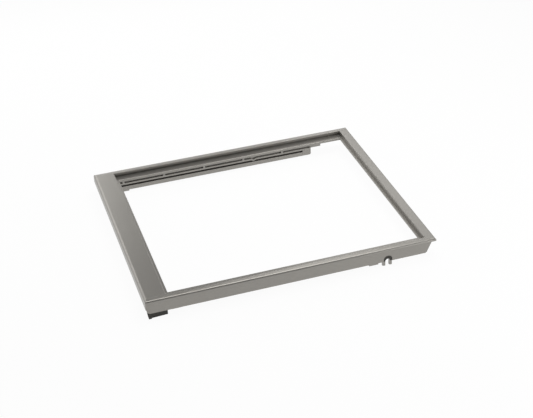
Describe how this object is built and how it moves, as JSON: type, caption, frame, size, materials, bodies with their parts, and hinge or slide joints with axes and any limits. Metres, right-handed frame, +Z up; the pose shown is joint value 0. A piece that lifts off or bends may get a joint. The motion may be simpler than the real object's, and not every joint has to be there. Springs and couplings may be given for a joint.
{
  "type": "crisper drawer cover",
  "caption": "Moulded rectangular frame that covers a fridge's vegetable drawer: wide front rail, stepped glass seat, side skirts, drawer channels beneath, dark front feet, and rear forks with dark pads.",
  "frame": {"origin": "on the resting plane under the feet, below the centre of the frame", "axes": "+X from the front rail to the rear rail, +Y to the left-hand side seen from the front, +Z up"},
  "size_m": [0.43, 0.359, 0.0307],
  "materials": {
    "grey_plastic": "satin moulded grey",
    "dark_foot": "dull dark grey"
  },
  "bodies": {
    "root": {"cover_frame": "grey_plastic", "front_foot_right": "dark_foot", "front_foot_left": "dark_foot", "rear_glide_right": "dark_foot", "rear_glide_left": "dark_foot"}
  },
  "joints": []
}
